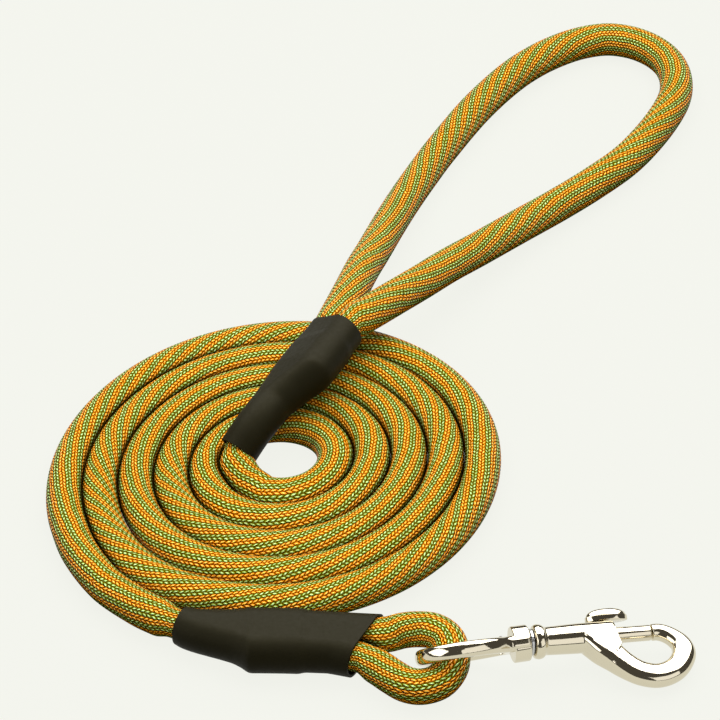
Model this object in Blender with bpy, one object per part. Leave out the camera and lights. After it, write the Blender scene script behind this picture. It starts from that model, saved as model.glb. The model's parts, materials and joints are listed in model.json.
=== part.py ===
"""A braided rope training leash, lying coiled: a hand loop, a flat spiral coil and an eye loop that
carries a swivel bolt snap. Both loops are closed by a crimped ferrule under a heat-shrink sleeve.

Metres, +Z up. The leash lies on z = 0, and the origin is the bottom centre of the box around the two
loops, their sleeves and the snap. Routes are given from the coil's centre.
"""

import math

import bmesh
import bpy
import numpy as np
from mathutils import Matrix, Vector

# ---------------------------------------------------------------- driving dimensions
ROPE_RADIUS = 0.006
GAP = 0.0003  # between pieces that touch
TUBE_RADIUS = ROPE_RADIUS - GAP / 2  # a rope solid beside another
STRAND_RADIUS = 0.0048  # rope squeezed inside a sleeve
EYE_ROPE_RADIUS = 0.0055  # rope drawn thin round the snap's eye
COIL_CENTRE = Vector((-0.0578, -0.0710, 0.0))

# The coil: a flat spiral, a little oval, that drifts as it grows
COIL_START_RADIUS = 0.0123
COIL_PITCH = 0.012
COIL_OVAL = 0.050
COIL_OVAL_ANGLE = math.radians(62)
COIL_DRIFT = Vector((0.00032, -0.00080, 0.0))  # per turn
COIL_START_ANGLE = math.pi  # where winding 0 lies, seen from above
COIL_INNER_END = 0.25  # turns: the riser comes down to here
COIL_OUTER_END = 5.0  # turns: the lead leaves from here

SLEEVE_WALL = 0.0008
FERRULE_WALL = 0.00065
FERRULE_BORE = 0.0051
STRAND_SPACING = 0.0100  # between the two ropes in a ferrule

# Snap: an axis through eye, stud, barrel and bolt
SNAP_BASE = Vector((0.0781, -0.0929, 0.0110))  # middle of the eye's base face, from the coil's centre
SNAP_YAW = math.radians(12.0)
SNAP_PITCH = math.radians(-4.5)
EYE_YAW = math.radians(13.3)  # the eye leans a little on its loose stud
EYE_PITCH = math.radians(-1.0)
EYE_LENGTH = 0.0357  # tip of the eye to the face of its base
EYE_ROLL = math.radians(-46)
SNAP_ROLL = math.radians(13)
EYE_BAR_WIDTH = 0.0040
EYE_BAR_THICKNESS = 0.0050
EYE_HALF_WIDTH = 0.0110  # to the middle of the bar
EYE_BASE_RADIUS = 0.0057
EYE_BASE_LENGTH = 0.0052
STUD_RADIUS = 0.0015
STUD_HEAD_SEAT = 0.0079  # from the eye's base face back to the seat of the stud's head
BARREL_LENGTH = 0.0274
BARREL_BORE = 0.00285
HOOK_THICKNESS = 0.0056
HOOK_END = 0.0050  # its round end, where the bolt closes on it
BOLT_RADIUS = 0.0025
BOLT_BACK = 0.0210
BOLT_TIP = 0.0392

NICKEL = ("nickel", (0.78, 0.75, 0.70), 0.18, 1.0)
STEEL = ("spring_steel", (0.55, 0.55, 0.56), 0.3, 1.0)
ALUMINIUM = ("aluminium", (0.70, 0.70, 0.71), 0.4, 1.0)
SHRINK = ("shrink_tube", (0.035, 0.034, 0.028), 0.55, 0.0)
ROPE = ("rope", (0.62, 0.38, 0.08), 0.85, 0.0)


# ---------------------------------------------------------------- helpers
def clear_scene():
    for obj in list(bpy.data.objects):
        bpy.data.objects.remove(obj, do_unlink=True)


def material(name, colour, roughness, metallic):
    made = bpy.data.materials.new(name)
    made.use_nodes = True
    shader = made.node_tree.nodes["Principled BSDF"]
    shader.inputs["Base Color"].default_value = (*colour, 1.0)
    shader.inputs["Roughness"].default_value = roughness
    shader.inputs["Metallic"].default_value = metallic
    return made


def add_object(name, data, finish, parent=None):
    obj = bpy.data.objects.new(name, data)
    bpy.context.scene.collection.objects.link(obj)
    data.materials.append(material(name + "_" + finish[0], *finish[1:]))
    if parent is not None:
        obj.parent = parent
    return obj


def mesh_from(name, points, faces):
    mesh = bpy.data.meshes.new(name)
    mesh.from_pydata([tuple(p) for p in points], [], faces)
    shape = bmesh.new()
    shape.from_mesh(mesh)
    bmesh.ops.recalc_face_normals(shape, faces=shape.faces[:])
    shape.to_mesh(mesh)
    shape.free()
    mesh.shade_smooth()
    mesh.set_sharp_from_angle(angle=math.radians(35))
    return mesh


def smooth_through(points, spacing):
    """Points about `spacing` apart along a Catmull-Rom curve through the given ones."""
    knots = [Vector(p) for p in points]
    knots = [knots[0] * 2 - knots[1], *knots, knots[-1] * 2 - knots[-2]]
    fine = []
    for a, b, c, d in zip(knots, knots[1:], knots[2:], knots[3:]):
        for step in range(16):
            t = step / 16
            fine.append(0.5 * (2 * b + (c - a) * t + (2 * a - 5 * b + 4 * c - d) * t**2
                               + (3 * b - a - 3 * c + d) * t**3))
    fine.append(knots[-2])
    path = np.array([tuple(p) for p in fine])
    along = np.concatenate([[0], np.cumsum(np.linalg.norm(np.diff(path, axis=0), axis=1))])
    count = max(2, round(along[-1] / spacing))
    wanted = np.linspace(0, along[-1], count + 1)
    return [Vector([np.interp(w, along, path[:, axis]) for axis in range(3)]) for w in wanted]


def sweep(rings, closed_loop=False):
    """Points and faces of a skin over rings of equal size, capped unless they close on themselves."""
    size = len(rings[0])
    points = [p for ring in rings for p in ring]
    faces = []
    for start in range(len(rings) - (0 if closed_loop else 1)):
        after = (start + 1) % len(rings)
        for i in range(size):
            j = (i + 1) % size
            faces.append((start * size + i, start * size + j, after * size + j, after * size + i))
    if not closed_loop:
        faces.append(tuple(range(size)))
        faces.append(tuple(range(len(points) - size, len(points))))
    return points, faces


def rounded_section(half_width, half_height, corner, steps=3):
    """A rectangle with rounded corners, as (across, up) pairs."""
    ring = []
    for quarter in range(4):
        sign_x = (1, -1, -1, 1)[quarter]
        sign_y = (1, 1, -1, -1)[quarter]
        for step in range(steps + 1):
            angle = (quarter + step / steps) * math.pi / 2
            ring.append((sign_x * (half_width - corner) + corner * math.cos(angle),
                         sign_y * (half_height - corner) + corner * math.sin(angle)))
    return ring


def cylinder(start, end, radius, sides=24):
    """Points and faces of a rod along local X."""
    rings = [[Vector((x, radius * math.cos(2 * math.pi * i / sides),
                      radius * math.sin(2 * math.pi * i / sides))) for i in range(sides)]
             for x in (start, end)]
    return sweep(rings)


def lathe(profile, sides=32):
    """A solid turned about local X from (x, radius) pairs, closed by flat ends."""
    return sweep([[Vector((x, radius * math.cos(2 * math.pi * i / sides),
                           radius * math.sin(2 * math.pi * i / sides))) for i in range(sides)]
                  for x, radius in profile])


def washer(start, end, inner, outer, sides=32):
    """A flat ring about local X."""
    rings = []
    for x, radius in ((start, inner), (start, outer), (end, outer), (end, inner)):
        rings.append([Vector((x, radius * math.cos(2 * math.pi * i / sides),
                              radius * math.sin(2 * math.pi * i / sides))) for i in range(sides)])
    return sweep(rings, closed_loop=True)


def boolean(target, tool_name, shape, operation, parent):
    """Adds to `target`, or cuts from it, with a hidden tool of the given points and faces."""
    tool = bpy.data.objects.new(tool_name, mesh_from(tool_name, *shape))
    bpy.context.scene.collection.objects.link(tool)
    tool.parent = parent
    tool.hide_render = True
    tool.display_type = "WIRE"
    change = target.modifiers.new(tool_name, "BOOLEAN")
    change.operation = operation
    change.object = tool


def empty(name, place):
    mark = bpy.data.objects.new(name, None)
    bpy.context.scene.collection.objects.link(mark)
    mark.matrix_world = place
    return mark


# ---------------------------------------------------------------- frames and routes
def coil_point(turns):
    """The rope's centre on the coil, counted in turns from its inner end."""
    angle = COIL_START_ANGLE + 2 * math.pi * turns
    radius = COIL_START_RADIUS + COIL_PITCH * turns
    radius *= 1 + COIL_OVAL * math.cos(2 * (angle - COIL_OVAL_ANGLE))
    return Vector((radius * math.cos(angle), radius * math.sin(angle), ROPE_RADIUS)) + COIL_DRIFT * turns


def axis_frame(yaw, pitch, roll, base_at):
    """A frame along the snap, its base face at X = base_at: X to the hook, Y away, Z up at roll 0."""
    turn = Matrix.Rotation(yaw, 4, "Z") @ Matrix.Rotation(-pitch, 4, "Y") @ Matrix.Rotation(roll, 4, "X")
    origin = COIL_CENTRE + SNAP_BASE - turn.to_3x3() @ Vector((base_at, 0, 0))
    return Matrix.Translation(origin) @ turn


HANDLE_SLEEVE_AXIS = [(-0.0134, -0.0005, 0.0120), (-0.0089, 0.0047, 0.0165), (-0.0043, 0.0115, 0.0189),
                      (0.0033, 0.0272, 0.0198), (0.0163, 0.0547, 0.0195)]
HANDLE_SIDE = Vector((0.737, -0.357, 0.574))
LOOP_ROUTE = [
    (0.0196, 0.0669, 0.0182), (0.0231, 0.0798, 0.0167), (0.0270, 0.0956, 0.0142), (0.0311, 0.1102, 0.0117),
    (0.0364, 0.1286, 0.0092), (0.0421, 0.1460, 0.0074), (0.0490, 0.1638, 0.0064), (0.0557, 0.1792, 0.0060),
    (0.0679, 0.2034, 0.0060), (0.0805, 0.2231, 0.0060), (0.0910, 0.2351, 0.0060), (0.1012, 0.2432, 0.0060),
    (0.1099, 0.2476, 0.0060), (0.1181, 0.2493, 0.0060), (0.1258, 0.2476, 0.0060), (0.1322, 0.2436, 0.0060),
    (0.1371, 0.2380, 0.0060), (0.1403, 0.2312, 0.0060), (0.1417, 0.2222, 0.0060), (0.1407, 0.2117, 0.0060),
    (0.1367, 0.2000, 0.0060), (0.1296, 0.1855, 0.0060), (0.1205, 0.1711, 0.0060), (0.1084, 0.1573, 0.0060),
    (0.0957, 0.1441, 0.0064), (0.0814, 0.1289, 0.0080), (0.0667, 0.1120, 0.0105), (0.0564, 0.0988, 0.0135),
    (0.0467, 0.0844, 0.0170), (0.0381, 0.0713, 0.0206), (0.0305, 0.0602, 0.0234)]
RISER_ROUTE = [(-0.0136, -0.0038, 0.0109), (-0.0125, -0.0074, 0.0093), (-0.0099, -0.0109, 0.0077),
               (-0.0060, -0.0139, 0.0066)]
LEAD_ROUTE = [(-0.0628, -0.0446, 0.0060), (-0.0545, -0.0598, 0.0060), (-0.0440, -0.0702, 0.0061),
              (-0.0366, -0.0755, 0.0064)]
HOOK_SLEEVE_AXIS = [(-0.0300, -0.0796, 0.0067), (-0.0262, -0.0813, 0.0068), (-0.0200, -0.0822, 0.0071),
                    (-0.0100, -0.0826, 0.0073), (0.0080, -0.0830, 0.0073), (0.0312, -0.0845, 0.0070)]
HOOK_SIDE = Vector((-0.05, -1.0, 0.0)).normalized()
EYE_ROUTE = [
    (0.0345, -0.0850, 0.0074), (0.0395, -0.0847, 0.0087), (0.0443, -0.0859, 0.0103),
    (0.0491, -0.0885, 0.0119), (0.0530, -0.0925, 0.0121), (0.0546, -0.0977, 0.0111),
    (0.0541, -0.1027, 0.0094), (0.0508, -0.1065, 0.0073), (0.0456, -0.1077, 0.0061),
    (0.0407, -0.1065, 0.0058), (0.0364, -0.1031, 0.0059), (0.0329, -0.0999, 0.0062),
    (0.0294, -0.0972, 0.0067), (0.0258, -0.0950, 0.0070)]


def placed(route):
    return [Vector(p) + COIL_CENTRE for p in route]


def beside(axis, side, spacing):
    """The second rope's line: the axis moved sideways."""
    return [Vector(p) + side * spacing for p in axis]


def cut(points, start, end=None):
    """The part of a dense line between two distances along it."""
    kept, run = [], 0.0
    for before, after in zip(points, points[1:]):
        run += (after - before).length
        if run >= start and (end is None or run <= end):
            kept.append(after)
    return kept


# ---------------------------------------------------------------- rope
def rope_tube(name, points, radii):
    """A plain round tube through world points, each with its own radius."""
    curve = bpy.data.curves.new(name, "CURVE")
    curve.dimensions = "3D"
    curve.bevel_depth = TUBE_RADIUS
    curve.bevel_resolution = 3
    curve.use_fill_caps = True
    spline = curve.splines.new("POLY")
    spline.points.add(len(points) - 1)
    for knot, place, radius in zip(spline.points, points, radii):
        knot.co = (*place, 1.0)
        knot.radius = radius / TUBE_RADIUS
    return add_object(name, curve, ROPE)


def rope_coil():
    """The outer shape of all the turns: one flat ring that follows the first and last turns."""
    steps = 76
    reach = TUBE_RADIUS
    first = COIL_INNER_END % 1
    rings = []
    for step in range(steps + 1):
        turn = first + step / steps
        turn = min(max(turn, first + 0.0004), first + 1 - 0.0004)
        for past_end in ((False, True) if abs(turn - 1) < 1e-9 else (turn > 1,)):
            inner = coil_point(turn).xy.length
            outer = coil_point(turn + COIL_OUTER_END - (2 if past_end else 1)).xy.length
            if past_end:
                lead = coil_point(turn + COIL_OUTER_END - 1).xy.length
                outer = min(outer, lead - 2 * reach - 5 * GAP)
            angle = COIL_START_ANGLE + 2 * math.pi * (turn + (0.0012 if past_end and turn < 1.001 else 0))
            ray = Vector((math.cos(angle), math.sin(angle), 0))
            ring = []
            for middle, way in ((inner, -1), (outer, 1)):
                for i in range(9):
                    tilt = math.pi * (i / 8 - 0.5) * way
                    ring.append(ray * (middle + way * reach * math.cos(tilt))
                                + Vector((0, 0, ROPE_RADIUS + ROPE_RADIUS * math.sin(tilt))) + COIL_CENTRE)
            rings.append(ring)
    add_object("rope_coil", mesh_from("rope_coil", *sweep(rings, closed_loop=True)), ROPE)


def narrowing(points, ends, inside, outside, blend=0.004):
    """A radius for each point: `inside` within the given stretches of the line, `outside` elsewhere."""
    run, radii = 0.0, []
    for index, point in enumerate(points):
        run += (point - points[index - 1]).length if index else 0.0
        depth = max(min(run - low, high - run) for low, high in ends)
        share = min(max(0.5 + depth / blend, 0.0), 1.0)
        radii.append(outside + (inside - outside) * share)
    return radii


def length_of(points):
    return sum((b - a).length for a, b in zip(points, points[1:]))


def rope_pieces():
    spacing = 0.0060
    main = smooth_through(placed(HANDLE_SLEEVE_AXIS), 0.001)
    tail = beside(main, HANDLE_SIDE, STRAND_SPACING)
    route = cut(main, 0.0075) + placed(LOOP_ROUTE) + cut(tail, 0.0325)[::-1]
    line = smooth_through(route, 0.0005)
    total = length_of(line)
    squeezed = [(-1, 0.0600), (total - (0.0660 - 0.0325), 2)]
    dense = smooth_through(line[::12] + [line[-1]], spacing)
    rope_tube("handle_loop", dense, narrowing(dense, squeezed, STRAND_RADIUS, TUBE_RADIUS))

    start = cut(main, 0.0, 0.0055)[::-1]
    landing = [coil_point(COIL_INNER_END + t) + COIL_CENTRE for t in (-0.06, -0.03)]
    line = smooth_through(start[::2] + placed(RISER_ROUTE) + landing, 0.004)
    line.append(Vector((COIL_CENTRE.x - 2 * GAP, line[-1].y, ROPE_RADIUS)))
    rope_tube("rope_riser", line, narrowing(line, [(-1, 0.0095)], STRAND_RADIUS, TUBE_RADIUS))

    hook = smooth_through(placed(HOOK_SLEEVE_AXIS), 0.001)
    tail = beside(hook, HOOK_SIDE, STRAND_SPACING)
    sleeve_length = length_of(hook)
    route = cut(hook, 0.006)[::4] + placed(EYE_ROUTE) + cut(tail, 0.0235, 0.050)[::-1][::4]
    line = smooth_through(route, 0.005)
    total = length_of(line)
    squeezed = [(-1, sleeve_length - 0.004), (total - (sleeve_length - 0.0255), 2)]
    rope_tube("eye_loop", line, narrowing(line, squeezed, STRAND_RADIUS, EYE_ROPE_RADIUS))

    leaving = [coil_point(COIL_OUTER_END + t) + COIL_CENTRE for t in (0.0012, 0.03, 0.06)]
    route = leaving + placed(LEAD_ROUTE) + cut(hook, 0.0, 0.0055)
    line = smooth_through(route, 0.007)
    total = length_of(line)
    rope_tube("rope_lead", line, narrowing(line, [(total - 0.0085, 2)], STRAND_RADIUS, TUBE_RADIUS))


# ---------------------------------------------------------------- sleeves and ferrules
def pill_ring(middle, along, side, spacing, radius, count=20):
    """A ring round one rope, or round two that lie `spacing` apart."""
    side = (side - along * side.dot(along)).normalized()
    up = side.cross(along).normalized()
    ring = []
    for i in range(count):
        angle = 2 * math.pi * (i + 0.5) / count
        shift = spacing if math.cos(angle) > 0 else 0.0
        ring.append(middle + side * (shift + radius * math.cos(angle)) + up * radius * math.sin(angle))
    return ring


def shell(name, axis, side, stations, wall, finish):
    """An open-ended skin along an axis.

    Each station is (distance, rope spacing, outer half height) and, at a slanted mouth, how far the
    second rope's side runs past the first's.
    """
    line = smooth_through(placed(axis), 0.0005)
    runs = np.concatenate([[0], np.cumsum([(b - a).length for a, b in zip(line, line[1:])])])
    rings = {"outer": [], "inner": []}
    for distance, spacing, radius, *slant in stations:
        index = int(np.abs(runs - distance).argmin())
        low, high = line[max(index - 3, 0)], line[min(index + 3, len(line) - 1)]
        along = (high - low).normalized()
        for skin, depth in (("outer", 0.0), ("inner", wall)):
            ring = pill_ring(line[index], along, side, spacing, radius - depth)
            lean = slant[0] / STRAND_SPACING if slant else 0.0
            rings[skin].append([p + along * lean * (p - line[index]).dot(side) for p in ring])
    shape = sweep(rings["outer"] + rings["inner"][::-1], closed_loop=True)
    return add_object(name, mesh_from(name, *shape), finish)


def sleeves():
    wide = STRAND_SPACING
    shell("handle_sleeve", HANDLE_SLEEVE_AXIS, HANDLE_SIDE,
          [(0.0020, 0, 0.0063), (0.006, 0, 0.0063), (0.010, 0, 0.0063), (0.014, 0, 0.0063),
           (0.020, 0.0002, 0.0063), (0.025, 0.002, 0.0064), (0.029, 0.0065, 0.0066), (0.032, wide, 0.0068),
           (0.035, wide, 0.0070), (0.048, wide, 0.0070), (0.052, wide, 0.0066), (0.057, wide, 0.0065),
           (0.0630, wide, 0.0065, -0.0030)], SLEEVE_WALL, SHRINK)
    shell("handle_ferrule", HANDLE_SLEEVE_AXIS, HANDLE_SIDE,
          [(0.0355, wide, FERRULE_BORE + FERRULE_WALL), (0.0415, wide, FERRULE_BORE + FERRULE_WALL),
           (0.0475, wide, FERRULE_BORE + FERRULE_WALL)], FERRULE_WALL, ALUMINIUM)
    shell("hook_sleeve", HOOK_SLEEVE_AXIS, HOOK_SIDE,
          [(0.001, 0, 0.0062), (0.006, 0.0008, 0.0062), (0.012, 0.0032, 0.0062), (0.0175, 0.0060, 0.0063),
           (0.0205, 0.0082, 0.0065), (0.0225, wide, 0.0069), (0.0385, wide, 0.0069), (0.0405, wide, 0.0064),
           (0.049, wide, 0.0063), (0.0617, wide + 0.0004, 0.0064, -0.0043)], SLEEVE_WALL, SHRINK)
    shell("hook_ferrule", HOOK_SLEEVE_AXIS, HOOK_SIDE,
          [(0.0240, wide, FERRULE_BORE + FERRULE_WALL), (0.031, wide, FERRULE_BORE + FERRULE_WALL),
           (0.038, wide, FERRULE_BORE + FERRULE_WALL)], FERRULE_WALL, ALUMINIUM)


# ---------------------------------------------------------------- swivel and snap
def swept_bar(line, widths, thicknesses, corners):
    """A bar that follows points in the local XY plane. Each size is one number, or one for each point."""
    sizes = [np.broadcast_to(size, len(line)) for size in (widths, thicknesses, corners)]
    rings = []
    for index, (point, width, thickness, corner) in enumerate(zip(line, *sizes)):
        along = (line[min(index + 1, len(line) - 1)] - line[max(index - 1, 0)]).normalized()
        across = Vector((-along.y, along.x, 0))
        rings.append([point + across * a + Vector((0, 0, b))
                      for a, b in rounded_section(width / 2, thickness / 2, corner)])
    return sweep(rings)


def swivel_eye():
    frame = empty("eye_axis", axis_frame(EYE_YAW, EYE_PITCH, EYE_ROLL, EYE_LENGTH))
    bend = EYE_HALF_WIDTH
    middle = bend + EYE_BAR_WIDTH / 2
    leg = [(0.0312, 0.0034), (0.0277, 0.0047), (0.0232, 0.0081), (0.0185, 0.0102)]
    arc = [(middle - bend * math.sin(a), bend * math.cos(a)) for a in np.linspace(0, math.pi, 13)]
    outline = [Vector((x, y, 0)) for x, y in leg] + [Vector((x, y, 0)) for x, y in arc]
    outline += [Vector((x, -y, 0)) for x, y in reversed(leg)]
    line = smooth_through(outline, 0.0022)
    shape = swept_bar(line, EYE_BAR_WIDTH, EYE_BAR_THICKNESS, 0.0014)
    eye = add_object("swivel_eye", mesh_from("swivel_eye", *shape), NICKEL, frame)
    base = EYE_LENGTH - EYE_BASE_LENGTH
    boss = cylinder(base, EYE_LENGTH, EYE_BASE_RADIUS, 32)
    boolean(eye, "eye_base_shape", boss, "UNION", frame)
    yoke = swept_bar([Vector((x, 0, 0)) for x in (0.0269, 0.0310)], 0.0102, 0.0048, 0.0008)
    boolean(eye, "eye_yoke_shape", yoke, "UNION", frame)
    rib = swept_bar([Vector((x, 0, 0)) for x in (0.0300, EYE_LENGTH - 0.0006)], 0.0122, 0.0030, 0.0005)
    boolean(eye, "eye_rib_shape", rib, "UNION", frame)
    bore = cylinder(0.0200, 0.0400, STUD_RADIUS + 0.0006, 24)
    boolean(eye, "eye_bore_cutter", bore, "DIFFERENCE", frame)
    seat = cylinder(0.0180, EYE_LENGTH - STUD_HEAD_SEAT, 0.0035, 24)
    boolean(eye, "stud_head_cutter", seat, "DIFFERENCE", frame)


def snap_pieces():
    frame = empty("snap_axis", axis_frame(SNAP_YAW, SNAP_PITCH, SNAP_ROLL, 0.0))
    stud = lathe([(-0.0092, 0.0021), (-0.0088, 0.0027), (-0.0083, 0.0027), (-0.0083, STUD_RADIUS),
                  (0.0064, STUD_RADIUS)], 24)
    add_object("swivel_stud", mesh_from("swivel_stud", *stud), STEEL, frame)
    ring = washer(0.0004, 0.0011, STUD_RADIUS + 0.0003, 0.0042)
    add_object("swivel_washer", mesh_from("swivel_washer", *ring), STEEL, frame)

    profile = [(0.0014, 0.0042), (0.0017, 0.0051), (0.0024, 0.0054), (0.0038, 0.0054), (0.0046, 0.0050),
               (0.0054, 0.0044), (0.0150, 0.0047), (BARREL_LENGTH - 0.0005, 0.0048), (BARREL_LENGTH, 0.0044)]
    body = add_object("snap_body", mesh_from("snap_body", *lathe(profile)), NICKEL, frame)
    spine = [(0.0185, -0.0008), (0.0222, -0.0044), (0.0256, -0.0083), (0.0279, -0.0110), (0.0306, -0.0135),
             (0.0332, -0.0152), (0.0373, -0.0164), (0.0413, -0.0158), (0.0450, -0.0136), (0.0478, -0.0096),
             (0.0479, -0.0057), (0.0461, -0.0028), (0.0438, -0.0009), (0.0415, 0.0000), (0.0395, 0.0000)]
    line = smooth_through([Vector((x, y, 0)) for x, y in spine], 0.0022)
    share = np.linspace(0, 1, len(line))
    widths = np.interp(share, [0, 0.10, 0.2, 0.45, 0.75, 0.85, 1],
                       [0.0050, 0.0076, 0.0064, 0.0060, 0.0060, 0.0050, HOOK_END])
    thicknesses = np.interp(share, [0.70, 0.90], [HOOK_THICKNESS, HOOK_END])
    corners = np.interp(share, [0.70, 0.90], [0.0015, 0.0021])
    boolean(body, "hook_shape", swept_bar(line, widths, thicknesses, corners), "UNION", frame)
    boolean(body, "bolt_bore_cutter", cylinder(0.0083, 0.0330, BARREL_BORE), "DIFFERENCE", frame)
    boolean(body, "stud_bore_cutter", cylinder(0.0, 0.0068, STUD_RADIUS + 0.0003, 24), "DIFFERENCE", frame)
    slot = swept_bar([Vector((0.0140, 0.0045, 0)), Vector((0.0264, 0.0045, 0))], 0.0040, 0.0028, 0.0004)
    boolean(body, "knob_slot_cutter", slot, "DIFFERENCE", frame)

    slide = empty("bolt_axis", axis_frame(SNAP_YAW, SNAP_PITCH, SNAP_ROLL, 0.0))
    rod = lathe([(BOLT_BACK, 0.0020), (BOLT_BACK + 0.0005, BOLT_RADIUS), (BOLT_TIP - 0.0005, BOLT_RADIUS),
                 (BOLT_TIP, 0.0021)], 24)
    add_object("snap_bolt", mesh_from("snap_bolt", *rod), NICKEL, slide)
    knob_middle = 0.0260
    pad = []
    for y, share in ((0.0063, 0.93), (0.0066, 1.0), (0.0076, 0.97), (0.0084, 0.86), (0.0090, 0.66),
                     (0.0092, 0.4)):
        pad.append([Vector((knob_middle + 0.0068 * share * math.cos(2 * math.pi * i / 28), y,
                            0.0027 * share * math.sin(2 * math.pi * i / 28))) for i in range(28)])
    knob = add_object("thumb_knob", mesh_from("thumb_knob", *sweep(pad)), NICKEL, slide)
    stem = swept_bar([Vector((0.0230, 0.0053, 0)), Vector((0.0260, 0.0053, 0))], 0.0036, 0.0021, 0.0003)
    boolean(knob, "knob_stem_shape", stem, "UNION", slide)

    turns, wire, coil_radius, start, end = 6.5, 0.0003, 0.0021, 0.0089, BOLT_BACK - 0.0006
    steps = int(turns * 14)
    rings = []
    for step in range(steps + 1):
        angle = 2 * math.pi * turns * step / steps
        out = Vector((0, math.cos(angle), math.sin(angle)))
        middle = out * coil_radius + Vector((start + (end - start) * step / steps, 0, 0))
        rings.append([middle + out * wire * math.cos(a) + Vector((wire * math.sin(a), 0, 0))
                      for a in np.linspace(0, 2 * math.pi, 6, endpoint=False)])
    add_object("bolt_spring", mesh_from("bolt_spring", *sweep(rings)), STEEL, frame)


def main():
    clear_scene()
    rope_coil()
    rope_pieces()
    sleeves()
    swivel_eye()
    snap_pieces()


main()
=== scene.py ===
"""The look of the coiled rope training leash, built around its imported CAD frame.

Metres, +Z up, the leash lying on z = 0. Routes are given from the coil's centre, as in the CAD source.
"""

import json
import math

import bmesh
import bpy
import numpy as np
from mathutils import Matrix, Vector

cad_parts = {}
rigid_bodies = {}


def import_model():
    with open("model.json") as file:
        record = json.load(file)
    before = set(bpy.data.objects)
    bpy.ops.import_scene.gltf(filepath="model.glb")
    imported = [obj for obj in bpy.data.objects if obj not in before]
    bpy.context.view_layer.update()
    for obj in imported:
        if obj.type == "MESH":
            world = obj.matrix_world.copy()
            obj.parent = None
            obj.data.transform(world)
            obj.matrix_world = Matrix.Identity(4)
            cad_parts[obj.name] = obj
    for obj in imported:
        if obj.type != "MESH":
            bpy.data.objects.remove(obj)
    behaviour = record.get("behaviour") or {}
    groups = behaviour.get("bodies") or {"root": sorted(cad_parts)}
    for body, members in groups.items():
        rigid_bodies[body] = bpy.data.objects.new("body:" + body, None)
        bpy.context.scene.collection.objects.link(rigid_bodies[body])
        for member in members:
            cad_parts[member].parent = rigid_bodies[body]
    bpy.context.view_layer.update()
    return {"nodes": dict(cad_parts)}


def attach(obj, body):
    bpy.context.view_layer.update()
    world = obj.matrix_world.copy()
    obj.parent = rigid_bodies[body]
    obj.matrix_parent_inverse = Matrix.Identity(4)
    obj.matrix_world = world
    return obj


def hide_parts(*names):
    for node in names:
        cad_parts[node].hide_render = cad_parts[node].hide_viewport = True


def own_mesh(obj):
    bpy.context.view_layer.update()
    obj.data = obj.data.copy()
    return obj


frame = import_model()

# ---------------------------------------------------------------- sizes
# Routes and places are the CAD source's, but for the lead's route, a little closer in, and the bulge.
ROPE_RADIUS = 0.006
STRAND_RADIUS = 0.0048  # rope squeezed inside a sleeve
EYE_ROPE_RADIUS = 0.0056  # rope drawn thin round the snap's eye
STRAND_SPACING = 0.0100  # between the two ropes in a ferrule
SLEEVE_WALL = 0.0008
COIL_CENTRE = np.array([-0.0578, -0.0710, 0.0])
COIL_START_RADIUS = 0.0123
COIL_PITCH = 0.012
COIL_OVAL = 0.050
COIL_OVAL_ANGLE = math.radians(62)
COIL_DRIFT = np.array([0.00032, -0.00080, 0.0])  # per turn
COIL_OUTER_END = 5.0  # turns: the lead leaves from here
BULGE_HEIGHT = 0.0013  # the outermost turn swells outward here, closing the gap beside it
BULGE_TURN = 4.14
BULGE_SPREAD = 0.07  # turns
SNAP_BASE = np.array([0.0781, -0.0929, 0.0110])  # middle of the eye's base face, from the coil's centre
SNAP_YAW = math.radians(12.0)
SNAP_PITCH = math.radians(-4.5)
EYE_YAW = math.radians(13.3)
EYE_PITCH = math.radians(-1.0)
EYE_LENGTH = 0.0357
EYE_BEND = 0.0110  # to the middle of the bar
EYE_BAR = 0.0040
EYE_ROLL = math.radians(-46)
SNAP_ROLL = math.radians(13)
CASTING_DETAIL = 0.00018  # the castings' mesh cell
KNOB_CENTRE = 0.0266  # along the barrel
KNOB_HALF_LENGTH = 0.0068
KNOB_HALF_WIDTH = 0.0034
KNOB_MIDDLE = 0.0073  # off the barrel's axis
KNOB_LEAN = math.radians(24)
SPRING_START = 0.0089
SPRING_LENGTH = 0.0112
SPRING_TURNS = 6.5
SPRING_RADIUS = 0.0021
SPRING_WIRE_RADIUS = 0.0003

HANDLE_SLEEVE_AXIS = [(-0.0134, -0.0005, 0.0120), (-0.0089, 0.0047, 0.0165), (-0.0043, 0.0115, 0.0189),
                      (0.0033, 0.0272, 0.0198), (0.0163, 0.0547, 0.0195)]
HANDLE_SIDE = np.array([0.737, -0.357, 0.574])  # from the sleeve's main rope to the rope's tail
LOOP_ROUTE = [
    (0.0196, 0.0669, 0.0182), (0.0231, 0.0798, 0.0167), (0.0270, 0.0956, 0.0142), (0.0311, 0.1102, 0.0117),
    (0.0364, 0.1286, 0.0092), (0.0421, 0.1460, 0.0074), (0.0490, 0.1638, 0.0064), (0.0557, 0.1792, 0.0060),
    (0.0679, 0.2034, 0.0060), (0.0805, 0.2231, 0.0060), (0.0910, 0.2351, 0.0060), (0.1012, 0.2432, 0.0060),
    (0.1099, 0.2476, 0.0060), (0.1181, 0.2493, 0.0060), (0.1258, 0.2476, 0.0060), (0.1322, 0.2436, 0.0060),
    (0.1371, 0.2380, 0.0060), (0.1403, 0.2312, 0.0060), (0.1417, 0.2222, 0.0060), (0.1407, 0.2117, 0.0060),
    (0.1367, 0.2000, 0.0060), (0.1296, 0.1855, 0.0060), (0.1205, 0.1711, 0.0060), (0.1084, 0.1573, 0.0060),
    (0.0957, 0.1441, 0.0064), (0.0814, 0.1289, 0.0080), (0.0667, 0.1120, 0.0105), (0.0564, 0.0988, 0.0135),
    (0.0467, 0.0844, 0.0170), (0.0381, 0.0713, 0.0206), (0.0305, 0.0602, 0.0234)]
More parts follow.
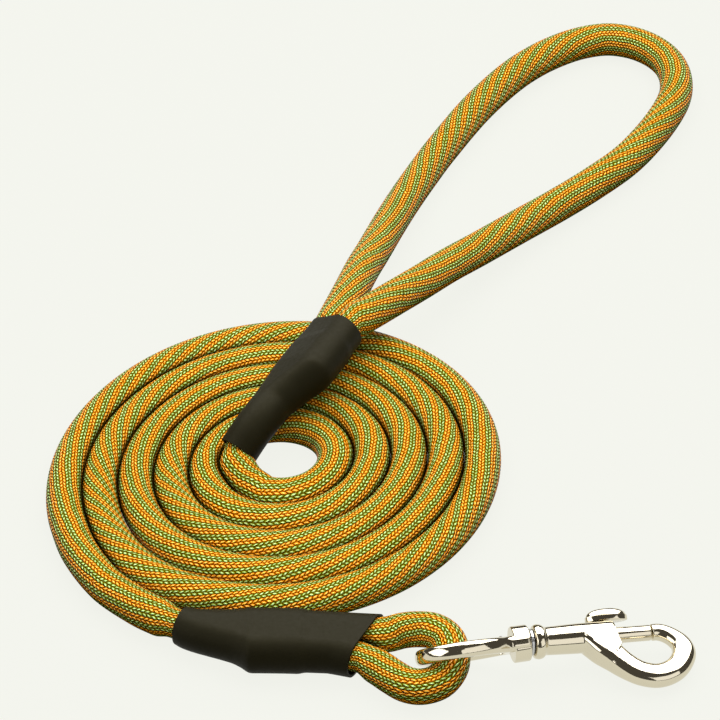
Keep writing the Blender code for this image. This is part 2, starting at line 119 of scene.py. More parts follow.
RISER_ROUTE = [(-0.0136, -0.0038, 0.0109), (-0.0125, -0.0074, 0.0093), (-0.0099, -0.0109, 0.0077),
               (-0.0060, -0.0139, 0.0066)]
LEAD_ROUTE = [(-0.0626, -0.0444, 0.0060), (-0.0541, -0.0594, 0.0060), (-0.0438, -0.0699, 0.0061),
              (-0.0366, -0.0755, 0.0064)]
HOOK_SLEEVE_AXIS = [(-0.0300, -0.0796, 0.0067), (-0.0262, -0.0813, 0.0068), (-0.0200, -0.0822, 0.0071),
                    (-0.0100, -0.0826, 0.0073), (0.0080, -0.0830, 0.0073), (0.0312, -0.0845, 0.0070)]
HOOK_SIDE = np.array([-0.05, -0.99875, 0.0])
EYE_ROUTE = [
    (0.0345, -0.0850, 0.0074), (0.0395, -0.0847, 0.0087), (0.0443, -0.0859, 0.0103),
    (0.0491, -0.0885, 0.0119), (0.0530, -0.0925, 0.0121), (0.0546, -0.0977, 0.0111),
    (0.0541, -0.1027, 0.0094), (0.0508, -0.1065, 0.0073), (0.0456, -0.1077, 0.0061),
    (0.0407, -0.1065, 0.0058), (0.0364, -0.1031, 0.0059), (0.0329, -0.0999, 0.0062),
    (0.0294, -0.0972, 0.0067), (0.0258, -0.0950, 0.0070)]

# ---------------------------------------------------------------- camera
CAMERA_TARGET = COIL_CENTRE + np.array([0.0263, 0.0635, 0.0])
CAMERA_ELEVATION = math.radians(37.8)
CAMERA_DISTANCE = 1.5

camera_data = bpy.data.cameras.new("camera")
camera_data.lens = 222
camera_data.sensor_width = 36
camera = bpy.data.objects.new("camera", camera_data)
bpy.context.scene.collection.objects.link(camera)
camera.location = CAMERA_TARGET + CAMERA_DISTANCE * np.array(
    [0, -math.cos(CAMERA_ELEVATION), math.sin(CAMERA_ELEVATION)])
camera.rotation_euler = (math.pi / 2 - CAMERA_ELEVATION, 0, 0)
bpy.context.scene.camera = camera


# ---------------------------------------------------------------- node materials
class Graph:
    """A material's node tree, with short calls for the nodes used here."""

    def __init__(self, name):
        self.made = bpy.data.materials.new(name)
        self.made.use_nodes = True
        self.tree = self.made.node_tree
        self.shader = self.tree.nodes["Principled BSDF"]

    def node(self, kind, inputs=(), **settings):
        made = self.tree.nodes.new(kind)
        for name, value in settings.items():
            setattr(made, name, value)
        for key, value in dict(inputs).items():
            if isinstance(value, bpy.types.NodeSocket):
                self.tree.links.new(value, made.inputs[key])
            else:
                made.inputs[key].default_value = value
        return made

    def math(self, operation, *values):
        return self.node("ShaderNodeMath", dict(enumerate(values)), operation=operation).outputs[0]

    def coords(self):
        return self.node("ShaderNodeTexCoord").outputs["Object"]

    def noise(self, vector, scale, detail=3.0):
        inputs = {"Vector": vector, "Scale": scale, "Detail": detail}
        return self.node("ShaderNodeTexNoise", inputs).outputs["Fac"]

    def mix(self, share, low, high):
        made = self.node("ShaderNodeMix", data_type="RGBA")
        for index, value in ((0, share), (6, low), (7, high)):
            if isinstance(value, bpy.types.NodeSocket):
                self.tree.links.new(value, made.inputs[index])
            else:
                made.inputs[index].default_value = value
        return made.outputs[2]

    def range(self, value, low, high, to_low, to_high):
        inputs = {"Value": value, "From Min": low, "From Max": high, "To Min": to_low, "To Max": to_high}
        return self.node("ShaderNodeMapRange", inputs).outputs["Result"]

    def bump(self, height, distance, strength=1.0, before=None):
        inputs = {"Height": height, "Distance": distance, "Strength": strength}
        if before is not None:
            inputs["Normal"] = before
        return self.node("ShaderNodeBump", inputs).outputs["Normal"]

    def feed(self, socket, value):
        if isinstance(value, bpy.types.NodeSocket):
            self.tree.links.new(value, self.shader.inputs[socket])
        else:
            self.shader.inputs[socket].default_value = value


def colour(red, green, blue):
    """A linear colour from screen values of 0 to 255."""
    return (*[(c / 255 / 12.92) if c <= 10 else ((c / 255 + 0.055) / 1.055) ** 2.4
              for c in (red, green, blue)], 1.0)


COLUMNS = 36  # yarn columns round the rope
YARN_PITCH = 0.0016  # along the rope, from one yarn to the next in a column


def rope_material():
    """A braid: columns of slanted yarns, two orange, then two green, each a half yarn on."""
    g = Graph("braided_rope")
    lay = g.node("ShaderNodeUVMap", uv_map="lay").outputs["UV"]
    split = g.node("ShaderNodeSeparateXYZ", {"Vector": lay})
    wobble = g.noise(g.coords(), 240.0, 2.0)
    across = g.math("MULTIPLY_ADD", split.outputs["X"], COLUMNS, g.range(wobble, 0.3, 0.7, -0.16, 0.16))
    column = g.math("FLOOR", across)
    half = g.math("MULTIPLY", g.math("FLOORED_MODULO", column, 2.0), 0.5)
    along = g.math("MULTIPLY_ADD", split.outputs["Y"], 1 / YARN_PITCH, half)
    along = g.math("ADD", along, g.math("MULTIPLY", g.math("PINGPONG", across, 1.0), 0.5))
    along = g.math("ADD", along, g.range(wobble, 0.3, 0.7, 0.16, -0.16))
    row = g.math("FLOOR", along)
    over_row = g.math("ABSOLUTE", g.math("SINE", g.math("MULTIPLY", along, math.pi)))
    over_column = g.math("ABSOLUTE", g.math("SINE", g.math("MULTIPLY", across, math.pi)))
    height = g.math("MULTIPLY", g.math("POWER", over_row, 0.85), g.math("POWER", over_column, 0.75))
    yarn_id = g.node("ShaderNodeCombineXYZ", {"X": column, "Y": row}).outputs["Vector"]
    yarn = g.node("ShaderNodeTexWhiteNoise", {"Vector": yarn_id}, noise_dimensions="2D").outputs["Value"]
    is_green = g.math("GREATER_THAN", g.math("FLOORED_MODULO", column, 4.0), 1.5)
    # Painted light on each yarn: a painted highlight colour on its top and a painted shade colour in the
    # gaps between yarns, both set by the bump's height.
    lit = g.range(height, 0.58, 0.96, 0.0, 1.0)
    lit = g.math("MULTIPLY", lit, g.range(yarn, 0.0, 1.0, 0.45, 1.0))
    low = g.range(height, 0.12, 0.62, 0.0, 1.0)
    orange = g.mix(low, colour(104, 50, 0), colour(252, 146, 0))
    orange = g.mix(lit, orange, colour(244, 216, 84))
    green = g.mix(low, colour(92, 64, 0), colour(124, 146, 2))
    green = g.mix(lit, green, colour(212, 248, 168))
    # Painted shade: the colour darkens to a near-black brown where the rope lies down beside another
    # stretch of rope.
    nook = g.node("ShaderNodeUVMap", uv_map="nook").outputs["UV"]
    openness = g.node("ShaderNodeSeparateXYZ", {"Vector": nook}).outputs["X"]
    g.feed("Base Color", g.mix(openness, colour(34, 24, 0), g.mix(is_green, orange, green)))
    g.feed("Roughness", g.range(yarn, 0.0, 1.0, 0.20, 0.36))
    facing = g.node("ShaderNodeSeparateXYZ", {"Vector": g.node("ShaderNodeTexCoord").outputs["Normal"]})
    upper = g.range(facing.outputs["Z"], -0.1, 0.5, 0.0, 0.42)
    gloss = g.math("MULTIPLY", openness, g.math("MULTIPLY", upper, g.range(height, 0.35, 0.9, 0.0, 1.0)))
    g.feed("Specular IOR Level", gloss)
    g.feed("Specular Tint", (1.0, 0.94, 0.62, 1.0))
    fibre = g.noise(g.coords(), 2600.0, 2.0)
    relief = g.bump(height, 0.00065, 1.0)
    g.feed("Normal", g.bump(fibre, 0.00006, 0.5, relief))
    return g.made


def shrink_material():
    g = Graph("heat_shrink")
    place = g.coords()
    broad = g.noise(place, 55.0, 3.0)
    fine = g.noise(place, 900.0, 4.0)
    g.feed("Base Color", g.mix(broad, colour(15, 13, 3), colour(19, 17, 6)))
    g.feed("Roughness", g.range(fine, 0.3, 0.7, 0.5, 0.62))
    g.feed("Specular IOR Level", 0.10)
    g.feed("Specular Tint", (1.0, 0.92, 0.66, 1.0))
    wave = g.bump(broad, 0.0007, 0.5)
    g.feed("Normal", g.bump(fine, 0.00005, 0.35, wave))
    return g.made


def metal_material(name, base, rough_low, rough_high, swell):
    g = Graph(name)
    place = g.coords()
    broad = g.noise(place, 120.0, 2.0)
    fine = g.noise(place, 1500.0, 3.0)
    g.feed("Base Color", g.mix(broad, base, tuple(min(c * 1.04, 1.0) for c in base)))
    g.feed("Metallic", 1.0)
    g.feed("Roughness", g.range(fine, 0.3, 0.7, rough_low, rough_high))
    g.feed("Normal", g.bump(broad, swell, 0.4))
    return g.made


ROPE = rope_material()
SHRINK = shrink_material()
NICKEL = metal_material("polished_nickel", (0.68, 0.62, 0.48, 1.0), 0.05, 0.10, 0.0002)
STEEL = metal_material("plain_steel", (0.50, 0.50, 0.50, 1.0), 0.22, 0.34, 0.0001)
ALUMINIUM = metal_material("crimped_aluminium", (0.70, 0.70, 0.71, 1.0), 0.30, 0.42, 0.0003)


# ---------------------------------------------------------------- helpers
def add_mesh(name, points, faces, finish, body, slot, sharp=35.0):
    """A smooth-shaded object, sharp past `sharp` degrees, that rides on `body` if there is one."""
    mesh = bpy.data.meshes.new(name)
    mesh.from_pydata([tuple(map(float, p)) for p in points], [], faces)
    shape = bmesh.new()
    shape.from_mesh(mesh)
    bmesh.ops.recalc_face_normals(shape, faces=shape.faces[:])
    shape.to_mesh(mesh)
    shape.free()
    mesh.shade_smooth()
    mesh.set_sharp_from_angle(angle=math.radians(sharp))
    obj = bpy.data.objects.new(name, mesh)
    bpy.context.scene.collection.objects.link(obj)
    mesh.materials.append(finish)
    if body:
        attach(obj, body)
    return obj


def smooth_through(points, spacing):
    """Points about `spacing` apart along a Catmull-Rom curve through the given ones."""
    knots = [np.asarray(p, float) for p in points]
    knots = [knots[0] * 2 - knots[1], *knots, knots[-1] * 2 - knots[-2]]
    fine = []
    for a, b, c, d in zip(knots, knots[1:], knots[2:], knots[3:]):
        for step in range(16):
            t = step / 16
            fine.append(0.5 * (2 * b + (c - a) * t + (2 * a - 5 * b + 4 * c - d) * t**2
                               + (3 * b - a - 3 * c + d) * t**3))
    fine.append(knots[-2])
    path = np.array(fine)
    along = distances(path)
    wanted = np.linspace(0, along[-1], max(2, round(along[-1] / spacing)) + 1)
    return np.stack([np.interp(wanted, along, path[:, axis]) for axis in range(3)], axis=1)


def distances(path):
    """How far each point is along its path."""
    return np.concatenate([[0], np.cumsum(np.linalg.norm(np.diff(path, axis=0), axis=1))])


def eased(values, width):
    """A row of values smoothed over `width` neighbours, ends kept."""
    weights = np.hanning(width + 2)[1:-1]
    padded = np.pad(np.asarray(values, float), width, mode="edge")
    return np.convolve(padded, weights / weights.sum(), mode="same")[width:-width]


def part_of(path, start, end=None):
    """The part of a dense path between two distances along it."""
    run = distances(path)
    return path[(run >= start) & (run <= (run[-1] if end is None else end))]


def skin(rings, closed_loop=False):
    """Points and faces of a skin over rings of equal size, capped unless it closes on itself."""
    size = len(rings[0])
    points = np.concatenate([np.asarray(r, float) for r in rings])
    faces = []
    for start in range(len(rings) - (0 if closed_loop else 1)):
        after = (start + 1) % len(rings)
        for i in range(size):
            j = (i + 1) % size
            faces.append((start * size + i, start * size + j, after * size + j, after * size + i))
    if not closed_loop:
        faces.append(tuple(range(size)))
        faces.append(tuple(range(len(points) - size, len(points))))
    return points, faces


# ---------------------------------------------------------------- rope
def coil_point(turns):
    """The rope's middle after so many turns: a spiral, a little oval, that drifts as it grows."""
    angle = math.pi + 2 * math.pi * turns
    bulge = BULGE_HEIGHT * math.exp(-((turns - BULGE_TURN) / BULGE_SPREAD) ** 2)
    radius = COIL_START_RADIUS + COIL_PITCH * turns + bulge
    radius *= 1 + COIL_OVAL * math.cos(2 * (angle - COIL_OVAL_ANGLE))
    return np.array([radius * math.cos(angle), radius * math.sin(angle), ROPE_RADIUS]) + COIL_DRIFT * turns


OWN_STRETCH = 0.03  # closer than this along its own path, the rope isn't beside itself
REACH = 0.02  # rope farther off than this is left out


# Painted shade: these values darken the rope's colour, and take its gloss away, where it lies beside other
# rope.
def openness_of(path, rings, others):
    """How open each rope point lies: 0 down beside another stretch of rope, 1 from 2 mm off it."""
    along = distances(path)
    opened = np.ones(rings.shape[:2])
    for index, ring in enumerate(rings):
        near = np.concatenate([path[np.abs(along - along[index]) > OWN_STRETCH], *others])
        near = near[np.abs(near - path[index]).max(axis=1) < REACH]
        if len(near):
            gap = np.linalg.norm(ring[:, None] - near[None], axis=2).min(axis=1) - ROPE_RADIUS
            opened[index] = np.clip((gap - 0.0006) / 0.0014, 0, 1)
    return opened.ravel()


def rope(name, path, radii, twist, others, sides=44):
    """A braided rope along world points; `twist` is the braid's own turn at each, counted in turns.

    Two UV maps carry the look: "lay" is round and along the rope, and "nook" is how open each point lies,
    which sets the painted shade where rope lies beside rope.
    `others` are the paths of the ropes beside it.
    """
    tangent = np.gradient(path, axis=0)
    tangent /= np.linalg.norm(tangent, axis=1)[:, None]
    side = np.cross(tangent, [0, 0, 1])
    side /= np.linalg.norm(side, axis=1)[:, None]
    up = np.cross(side, tangent)
    angle = 2 * math.pi * np.arange(sides) / sides
    out = side[:, None] * np.cos(angle)[None, :, None] + up[:, None] * np.sin(angle)[None, :, None]
    rings = path[:, None] + out * np.asarray(radii)[:, None, None]
    rings[:, :, 2] = np.maximum(rings[:, :, 2], 0.0)
    points, faces = skin(list(rings))
    obj = add_mesh(name, points, faces, ROPE, "leash", "rope", 60.0)
    along = distances(path)
    uvs = obj.data.uv_layers.new(name="lay")
    corner = np.empty(len(obj.data.loops), np.int64)
    obj.data.loops.foreach_get("vertex_index", corner)
    start = np.empty(len(obj.data.polygons), np.int64)
    count = np.empty(len(obj.data.polygons), np.int64)
    obj.data.polygons.foreach_get("loop_start", start)
    obj.data.polygons.foreach_get("loop_total", count)
    ring = corner // sides
    turn = corner % sides / sides
    face_of = np.repeat(np.arange(len(start)), count)
    highest = np.zeros(len(start))
    np.maximum.at(highest, face_of, turn)
    wraps = (highest[face_of] > 0.9) & (turn < 0.1) & (count[face_of] == 4)
    turn = turn + wraps
    lay = np.stack([turn + np.asarray(twist)[ring], along[ring]], axis=1)
    uvs.data.foreach_set("uv", lay.astype(np.float32).ravel())
    # The mask for the painted shade between ropes, stored per corner.
    opened = openness_of(path, rings, others)[corner]
    nook = obj.data.uv_layers.new(name="nook")
    nook.data.foreach_set("uv", np.stack([opened, opened], axis=1).astype(np.float32).ravel())
    return obj


def squeeze(path, inside, outside, ends, blend=0.005):
    """Radii along a path: `inside` within the given stretches, `outside` elsewhere."""
    run = distances(path)
    depth = np.max([np.minimum(run - low, high - run) for low, high in ends], axis=0)
    share = np.clip(0.5 + depth / blend, 0, 1)
    share = share * share * (3 - 2 * share)
    return outside + (inside - outside) * share


def placed(route):
    """A route's points in the frame, from the coil's centre."""
    return [np.array(p) + COIL_CENTRE for p in route]


def twist_along(path, knots):
    """The braid's turn from twist rates in turns per metre at shares of the path."""
    run = distances(path)
    rate = np.interp(run / run[-1], [k[0] for k in knots], [k[1] for k in knots])
    return np.concatenate([[0], np.cumsum((rate[1:] + rate[:-1]) / 2 * np.diff(run))])


STEP = 0.0010  # between the rope's rings
handle_axis = smooth_through(placed(HANDLE_SLEEVE_AXIS), 0.0005)
handle_tail = handle_axis + HANDLE_SIDE * STRAND_SPACING
hook_axis = smooth_through(placed(HOOK_SLEEVE_AXIS), 0.0005)
hook_tail = hook_axis + HOOK_SIDE * STRAND_SPACING

coil_turns = [coil_point(t) + COIL_CENTRE for t in np.arange(0.20, COIL_OUTER_END + 0.061, 0.02)]
run_path = smooth_through([*part_of(handle_axis, 0.0, 0.0060)[::-4], *placed(RISER_ROUTE), *coil_turns,
                           *placed(LEAD_ROUTE), *part_of(hook_axis, 0.0, 0.0060)[::4]], STEP)
run_length = distances(run_path)[-1]
run_radii = squeeze(run_path, STRAND_RADIUS, ROPE_RADIUS, [(-1, 0.0085), (run_length - 0.0085, 9)])
RUN_TWIST = [(0.0, -4.0), (0.09, -3.0), (0.13, -6.0), (0.154, 4.0), (0.19, 0.0), (0.228, -14.0),
             (0.27, -6.0), (0.315, 5.0), (0.36, -1.0), (0.415, -3.0), (0.47, -8.0), (0.53, 7.0),
             (0.59, -1.0), (0.655, -14.0), (0.72, -6.0), (0.76, -11.0), (0.80, 6.0), (0.835, -6.0),
             (0.87, -12.0), (0.91, -8.0), (0.95, -1.0), (1.0, -4.0)]

loop_path = smooth_through([*part_of(handle_axis, 0.0075)[::8], *placed(LOOP_ROUTE),
                            *part_of(handle_tail, 0.0325)[::-8]], STEP)
loop_length = distances(loop_path)[-1]
loop_radii = squeeze(loop_path, STRAND_RADIUS, ROPE_RADIUS, [(-1, 0.0570), (loop_length - 0.0320, 9)])
LOOP_TWIST = [(0.0, 0.0), (0.12, 6.0), (0.18, 9.0), (0.23, 2.0), (0.29, -8.0), (0.37, -11.0),
              (0.47, -9.0), (0.50, -1.0), (0.567, 1.0), (0.63, 10.0), (0.676, 7.0), (0.726, 0.0),
              (0.768, -10.0), (0.80, -8.0), (0.84, 0.0), (0.895, 7.0), (1.0, 4.0)]

eye_path = smooth_through([*part_of(hook_axis, 0.0065)[::8], *placed(EYE_ROUTE),
                           *part_of(hook_tail, 0.0235, 0.050)[::-8]], STEP)
eye_total = distances(eye_path)[-1]
sleeve_length = distances(hook_axis)[-1]
eye_radii = squeeze(eye_path, STRAND_RADIUS, EYE_ROPE_RADIUS,
                    [(-1, sleeve_length - 0.0065), (eye_total - (sleeve_length - 0.0260), 9)])
EYE_TWIST = [(0.0, -3.0), (1.0, -3.0)]

run_rope = rope("rope_run", run_path, run_radii, twist_along(run_path, RUN_TWIST), [loop_path, eye_path])
loop_rope = rope("hand_loop", loop_path, loop_radii, twist_along(loop_path, LOOP_TWIST), [run_path])
eye_rope = rope("eye_rope", eye_path, eye_radii, twist_along(eye_path, EYE_TWIST), [run_path])
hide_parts("rope_coil", "rope_riser", "rope_lead")
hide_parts("handle_loop")
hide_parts("eye_loop")


# ---------------------------------------------------------------- sleeves
def sleeve(name, node, axis, side, stations, slant, count=72):
    """A thin skin round one rope, then two. Stations are (distance, rope spacing, outer half height).

    `slant` is how much further along the tail's side of the wide mouth ends.
    """
    tangent = np.gradient(axis, axis=0)
    tangent /= np.linalg.norm(tangent, axis=1)[:, None]
    run = distances(axis)
    inside = (run >= stations[0][0]) & (run <= stations[-1][0])
    spacing = eased(np.interp(run, [s[0] for s in stations], [s[1] for s in stations]), 7)
    radius = eased(np.interp(run, [s[0] for s in stations], [s[2] for s in stations]), 5)
    lean = slant / STRAND_SPACING * np.clip((run - stations[-1][0] + 0.016) / 0.016, 0, 1)
    skins = {0.0: [], SLEEVE_WALL: []}
    for index in np.flatnonzero(inside):
        along = tangent[index]
        across = side - along * side.dot(along)
        across /= np.linalg.norm(across)
        up = np.cross(across, along)
        for depth, rings in skins.items():
            ring = []
            for i in range(count):
                angle = 2 * math.pi * (i + 0.5) / count
                shift = spacing[index] if math.cos(angle) > 0 else 0.0
                offset = (across * (shift + (radius[index] - depth) * math.cos(angle))
                          + up * (radius[index] - depth) * math.sin(angle))
                point = axis[index] + offset + along * lean[index] * offset.dot(across)
                point[2] = max(point[2], 0.0001)
                ring.append(point)
            rings.append(ring)
    outer, inner = skins[0.0], skins[SLEEVE_WALL]
    obj = add_mesh(name, *skin(outer + inner[::-1], closed_loop=True), SHRINK, "leash", "shrink_tube", 50.0)
    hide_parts(node)


WIDE = STRAND_SPACING
sleeve("handle_shrink", "handle_sleeve", handle_axis, HANDLE_SIDE,
       [(0.0002, 0, 0.0066), (0.014, 0, 0.0066), (0.020, 0.0004, 0.0065), (0.025, 0.0036, 0.0065),
        (0.029, 0.0068, 0.0066), (0.033, WIDE, 0.0068), (0.036, WIDE, 0.0070), (0.048, WIDE, 0.0070),
        (0.052, WIDE, 0.0066), (0.057, WIDE, 0.0065), (0.0630, WIDE, 0.0065)], -0.0030)
sleeve("hook_shrink", "hook_sleeve", hook_axis, HOOK_SIDE,
       [(0.001, 0, 0.0062), (0.006, 0.0020, 0.0062), (0.012, 0.0042, 0.0062), (0.0175, 0.0064, 0.0063),
        (0.0205, 0.0082, 0.0065), (0.0225, WIDE, 0.0069), (0.0385, WIDE, 0.0069), (0.0405, WIDE, 0.0064),
        (0.049, WIDE, 0.0063), (0.0617, WIDE + 0.0012, 0.0064)], -0.0043)


# ---------------------------------------------------------------- snap
def axis_frame(yaw, pitch, roll, base_at):
    """A frame along the snap, its base face at X = base_at: X to the hook, Y away, Z up at roll 0."""
    turn = Matrix.Rotation(yaw, 4, "Z") @ Matrix.Rotation(-pitch, 4, "Y") @ Matrix.Rotation(roll, 4, "X")
    origin = Vector(COIL_CENTRE + SNAP_BASE) - turn.to_3x3() @ Vector((base_at, 0, 0))
    return Matrix.Translation(origin) @ turn


def lathe(profile, sides=64):
    """A solid turned about X from (x, radius) pairs."""
    angles = 2 * math.pi * np.arange(sides) / sides
    return skin([np.stack([np.full(sides, x), r * np.cos(angles), r * np.sin(angles)], axis=1)
                 for x, r in profile])


def section(half_width, half_height, squareness, count=28):
    """A bar's section as (across, up) pairs: an oval at squareness 2, squarer above it."""
    ring = []
    for i in range(count):
        angle = 2 * math.pi * (i + 0.5) / count
        across, up = math.cos(angle), math.sin(angle)
        ring.append((half_width * math.copysign(abs(across) ** (2 / squareness), across),
                     half_height * math.copysign(abs(up) ** (2 / squareness), up)))
    return ring


def bar(line, widths, thicknesses, squareness):
    """A bar along a line in the local XY plane. Each size is one number, or one for each point."""
    line = np.asarray(line, float)
    tangent = np.gradient(line, axis=0)
    tangent /= np.linalg.norm(tangent, axis=1)[:, None]
    sizes = [np.broadcast_to(size, len(line)) for size in (widths, thicknesses, squareness)]
    rings = []
    for point, along, width, thickness, square in zip(line, tangent, *sizes):
        across = np.array([-along[1], along[0], 0.0])
        rings.append([point + across * a + np.array([0, 0, b])
                      for a, b in section(width / 2, thickness / 2, square)])
    return skin(rings)


def fused(name, solids, cutters, voxel, rounds, place, body, replaced):
    """One casting from overlapping solids, less its cutters, with soft edges."""
    pieces = []
    for index, (points, faces) in enumerate([*solids, *cutters]):
        tool = add_mesh(f"{name}_{index}", points, faces, NICKEL, None, None)
        pieces.append(tool)
    base = pieces[0]
    for index, tool in enumerate(pieces[1:], 1):
        change = base.modifiers.new(f"join_{index}", "BOOLEAN")
        change.operation = "UNION" if index < len(solids) else "DIFFERENCE"
        change.object = tool
        change.solver = "EXACT"
    remesh = base.modifiers.new("cast", "REMESH")
    remesh.mode = "VOXEL"
    remesh.voxel_size = voxel
    remesh.use_smooth_shade = True
    ease = base.modifiers.new("ease", "SMOOTH")
    ease.factor = 0.5
    ease.iterations = rounds
    graph = bpy.context.evaluated_depsgraph_get()
    mesh = bpy.data.meshes.new_from_object(base.evaluated_get(graph))
    for tool in pieces:
        bpy.data.objects.remove(tool)
    mesh.transform(place)
    mesh.name = name
    mesh.shade_smooth()
    obj = bpy.data.objects.new(name, mesh)
    bpy.context.scene.collection.objects.link(obj)
    mesh.materials.clear()
    mesh.materials.append(NICKEL)
    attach(obj, body)
    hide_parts(replaced)


eye_place = axis_frame(EYE_YAW, EYE_PITCH, EYE_ROLL, EYE_LENGTH)
snap_place = axis_frame(SNAP_YAW, SNAP_PITCH, SNAP_ROLL, 0.0)

arc = [(EYE_BEND + EYE_BAR / 2 - EYE_BEND * math.sin(a), EYE_BEND * math.cos(a), 0)
       for a in np.linspace(0, math.pi, 25)]
leg = [(0.0312, 0.0034, 0), (0.0277, 0.0047, 0), (0.0232, 0.0081, 0), (0.0185, 0.0102, 0)]
eye_line = smooth_through(leg + arc + [(x, -y, 0) for x, y, _ in leg[::-1]], 0.0007)
eye_bar_shape = bar(eye_line, EYE_BAR, 0.0050, 2.4)
boss = lathe([(0.0305, 0.0054), (0.0308, 0.0057), (0.0354, 0.0057), (0.0357, 0.0054)])
yoke = bar([(0.0269, 0, 0), (0.0310, 0, 0)], 0.0102, 0.0048, 8)
rib = bar([(0.0300, 0, 0), (0.0351, 0, 0)], 0.0122, 0.0030, 8)
stud_bore = lathe([(0.0200, 0.0021), (0.0400, 0.0021)], 32)
stud_seat = lathe([(0.0180, 0.0035), (0.0278, 0.0035)], 32)
fused("eye_ring", [eye_bar_shape, boss, yoke, rib], [stud_bore, stud_seat], CASTING_DETAIL, 4, eye_place,
      "swivel", "swivel_eye")

barrel = lathe([(0.0014, 0.0042), (0.0017, 0.0050), (0.0022, 0.0053), (0.0030, 0.0055), (0.0038, 0.0054),
                (0.0044, 0.0052), (0.0048, 0.0048), (0.0054, 0.0044), (0.0150, 0.0047), (0.0266, 0.0048),
                (0.0274, 0.0045)])
# The middle line of the hook's bar, from the web round to the tip that the bolt closes on
HOOK_SPINE = [(0.0185, -0.0008, 0), (0.0222, -0.0044, 0), (0.0256, -0.0083, 0), (0.0279, -0.0110, 0),
              (0.0306, -0.0135, 0), (0.0332, -0.0152, 0), (0.0373, -0.0164, 0), (0.0413, -0.0158, 0),
              (0.0450, -0.0136, 0), (0.0478, -0.0096, 0), (0.0479, -0.0057, 0), (0.0461, -0.0028, 0),
              (0.0438, -0.0009, 0), (0.0415, 0.0000, 0), (0.0395, 0.0000, 0)]
hook_line = smooth_through(HOOK_SPINE, 0.0007)
hook_share = np.linspace(0, 1, len(hook_line))
hook_widths = np.interp(hook_share, [0, 0.10, 0.22, 0.45, 0.75, 0.86, 1],
                        [0.0064, 0.0086, 0.0076, 0.0076, 0.0076, 0.0058, 0.0051])
hook_heights = np.interp(hook_share, [0.0, 0.12, 0.22, 0.34, 0.70, 0.90],
                         [0.0092, 0.0092, 0.0080, 0.0066, 0.0062, 0.0052])
hook_squareness = np.interp(hook_share, [0.0, 0.15, 0.35, 0.70, 0.90], [3.4, 3.2, 2.4, 2.3, 2.1])
hook_shape = bar(hook_line, eased(hook_widths, 9), eased(hook_heights, 9), eased(hook_squareness, 9))
bolt_bore = lathe([(0.0083, 0.00285), (0.0330, 0.00285)], 32)
stem_bore = lathe([(0.0, 0.0018), (0.0068, 0.0018)], 32)
# A plate fills the corner between barrel and hook; its top slopes a little.
web_outline = [(0.0172, 0.0002), (0.0274, 0.0002), (0.0276, -0.0032), (0.0282, -0.0060), (0.0262, -0.0086),
               (0.0215, -0.0056), (0.0172, -0.0018)]
web_heights = [0.0048, 0.0048, 0.0047, 0.0044, 0.0042, 0.0043, 0.0048]
web = skin([[(x, y, -0.0040) for x, y in web_outline],
            [(x, y, z) for (x, y), z in zip(web_outline, web_heights)]])
slot_cut = bar([(0.0130, 0.0045, 0), (0.0264, 0.0045, 0)], 0.0040, 0.0028, 6)
fused("snap_casting", [barrel, hook_shape, web], [bolt_bore, stem_bore, slot_cut], CASTING_DETAIL, 7,
      snap_place, "snap", "snap_body")


def turned(name, shape, body, replaced, extra=()):
    """A nickel piece of the snap: one solid with the `extra` ones joined on."""
    obj = add_mesh(name, *shape, NICKEL, None, None, 40.0)
    for index, tool_shape in enumerate(extra):
        tool = add_mesh(f"{name}_{index}", *tool_shape, NICKEL, None, None)
        change = obj.modifiers.new("join", "BOOLEAN")
        change.operation = "UNION"
        change.object = tool
    graph = bpy.context.evaluated_depsgraph_get()
    mesh = bpy.data.meshes.new_from_object(obj.evaluated_get(graph))
    for index in range(len(extra)):
        bpy.data.objects.remove(bpy.data.objects[f"{name}_{index}"])
    obj.modifiers.clear()
    mesh.transform(snap_place)
    obj.data = mesh
    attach(obj, body)
    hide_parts(replaced)


turned("bolt_rod", lathe([(0.0210, 0.0020), (0.0215, 0.0025), (0.0387, 0.0025), (0.0390, 0.0024),
                          (0.0392, 0.0021)], 48), "bolt", "snap_bolt")
pad_rings = []
angles = 2 * math.pi * np.arange(48) / 48
for height, taper in ((0.0055, 0.95), (0.0056, 0.99), (0.0058, 1.0), (0.0071, 0.99), (0.0072, 0.95),
                      (0.0080, 0.90), (0.0086, 0.80), (0.0091, 0.66), (0.0094, 0.50), (0.0095, 0.35)):
    flat = KNOB_HALF_WIDTH * taper * np.sin(angles)
    rise = height - KNOB_MIDDLE
    lifted = KNOB_MIDDLE + 0.0004 + rise * math.cos(KNOB_LEAN) - flat * math.sin(KNOB_LEAN)
    pad_rings.append(np.stack([KNOB_CENTRE + KNOB_HALF_LENGTH * taper * np.cos(angles), lifted,
                               rise * math.sin(KNOB_LEAN) + flat * math.cos(KNOB_LEAN)], axis=1))
stem = bar([(0.0230, 0.0053, 0), (0.0260, 0.0053, 0)], 0.0036, 0.0021, 6)
turned("thumb_pad", skin(pad_rings), "bolt", "thumb_knob", [stem])

spring_run = np.linspace(0, 1, 105)
spring_turn = 2 * math.pi * SPRING_TURNS * spring_run
spring_line = np.stack([SPRING_START + SPRING_LENGTH * spring_run, SPRING_RADIUS * np.cos(spring_turn),
                        SPRING_RADIUS * np.sin(spring_turn)], axis=1)
spring_rings = []
for point, turn in zip(spring_line, spring_turn):
    out = np.array([0, math.cos(turn), math.sin(turn)])
    spring_rings.append([point + out * SPRING_WIRE_RADIUS * math.cos(a)
                         + np.array([SPRING_WIRE_RADIUS * math.sin(a), 0, 0])
                         for a in np.linspace(0, 2 * math.pi, 8, endpoint=False)])
spring_points, spring_faces = skin(spring_rings)
spring = add_mesh("spring_coil", [snap_place @ Vector(p) for p in spring_points], spring_faces, STEEL,
                  "snap", "steel", 60.0)
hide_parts("bolt_spring")
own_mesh(spring)

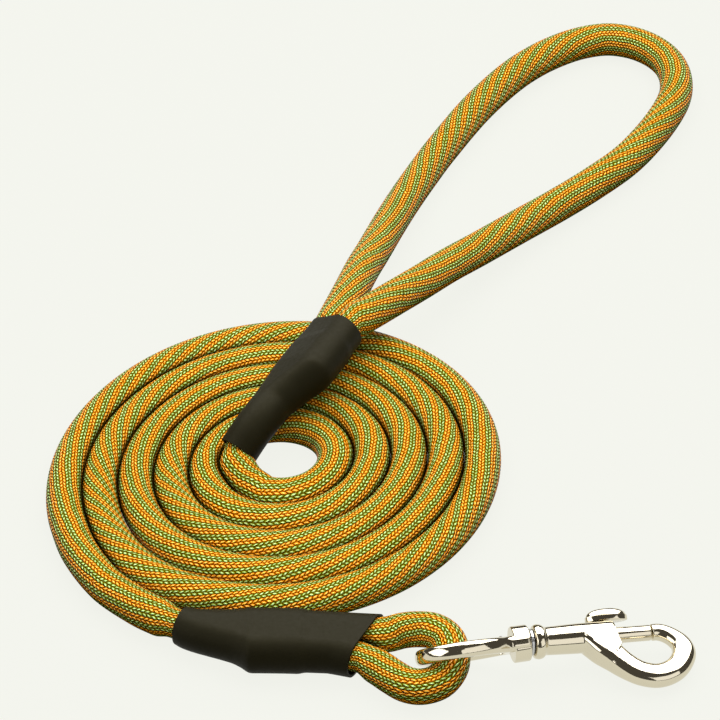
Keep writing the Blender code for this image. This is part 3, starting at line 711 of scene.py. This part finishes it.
for node, finish, slot_name in (("swivel_stud", STEEL, "steel"), ("swivel_washer", STEEL, "steel"),
                                ("handle_ferrule", ALUMINIUM, "aluminium"),
                                ("hook_ferrule", ALUMINIUM, "aluminium")):
    obj = frame["nodes"][node]
    obj.data.materials.clear()
    obj.data.materials.append(finish)

# ---------------------------------------------------------------- floor and light
FLOOR_REACH = 3
FLOOR_LEVEL = -0.0002
floor_graph = Graph("pale_floor")
floor_graph.feed("Base Color", (0.015, 0.015, 0.014, 1.0))
floor_graph.feed("Roughness", 0.9)
floor_graph.feed("Specular IOR Level", 0.1)
floor_graph.feed("Emission Color", (0.990, 1.0, 0.934, 1.0))
floor_graph.feed("Emission Strength", 0.865)
floor_corners = [(x * FLOOR_REACH, y * FLOOR_REACH, FLOOR_LEVEL)
                 for x, y in ((-1, -1), (1, -1), (1, 1), (-1, 1))]
floor = add_mesh("floor", floor_corners, [(0, 1, 2, 3)], floor_graph.made, None, None)
floor.visible_diffuse = False


def area_light(name, place, aim, size, power):
    data = bpy.data.lights.new(name, "AREA")
    data.shape = "RECTANGLE"
    data.size, data.size_y = size
    data.energy = power
    lamp = bpy.data.objects.new(name, data)
    bpy.context.scene.collection.objects.link(lamp)
    lamp.location = place
    lamp.rotation_euler = (Vector(aim) - Vector(place)).to_track_quat("-Z", "Y").to_euler()
    return lamp


for name, place, aim, size, power in (
        ("top_softbox", (0.05, 0.45, 0.88), (0.03, -0.12, 0), (2.0, 1.25), 36.0),
        ("left_panel", (-1.45, -0.75, 0.85), (0.05, -0.17, 0), (1.9, 1.2), 16.0),
        ("right_panel", (1.15, -1.35, 0.80), (0.05, -0.17, 0), (1.9, 1.3), 8.5)):
    area_light(name, place, aim, size, power).visible_diffuse = False
for name, place, aim, size, power in (
        ("overhead", (0.0, 0.20, 1.15), (0, 0, 0), (1.6, 1.2), 32.0),
        ("front", (0.0, -0.9, 0.95), (0, -0.1, 0), (1.4, 0.8), 9.5)):
    area_light(name, place, aim, size, power).visible_glossy = False
world = bpy.data.worlds.new("studio")
world.use_nodes = True
world.node_tree.nodes["Background"].inputs["Color"].default_value = (1.0, 0.93, 0.80, 1.0)
world.node_tree.nodes["Background"].inputs["Strength"].default_value = 0.08
bpy.context.scene.world = world
bpy.context.scene.view_settings.view_transform = "Standard"
